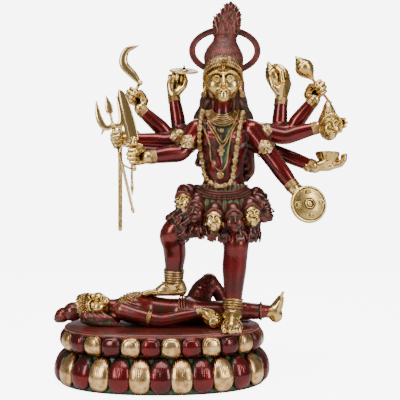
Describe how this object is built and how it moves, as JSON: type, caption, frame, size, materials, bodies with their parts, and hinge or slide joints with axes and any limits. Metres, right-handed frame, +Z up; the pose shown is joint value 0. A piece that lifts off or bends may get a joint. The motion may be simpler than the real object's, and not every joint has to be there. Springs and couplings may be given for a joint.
{
  "type": "kali figure",
  "caption": "Cast brass goddess with many arms, standing on a reclining god on an oval lotus pedestal, with red patina and polished parts.",
  "frame": {"origin": "centre of the pedestal's underside", "axes": "+Z up, -Y the way the standing figure faces, +X to the right of a viewer who faces it"},
  "size_m": [0.6882, 0.356, 0.901],
  "materials": {
    "red_patina": "satin red-brown patina over brass, polished gold on faces, hands, feet and ornament, green in the hollows",
    "polished_brass": "polished, darker in the hollows"
  },
  "bodies": {
    "root": {"lotus_pedestal": "red_patina", "reclining_figure": "red_patina", "kali_figure": "red_patina", "discus": "polished_brass", "sickle": "polished_brass", "trident": "polished_brass", "staff": "polished_brass", "arrow": "polished_brass", "sword": "polished_brass", "mace": "polished_brass", "shield": "polished_brass"}
  },
  "joints": []
}
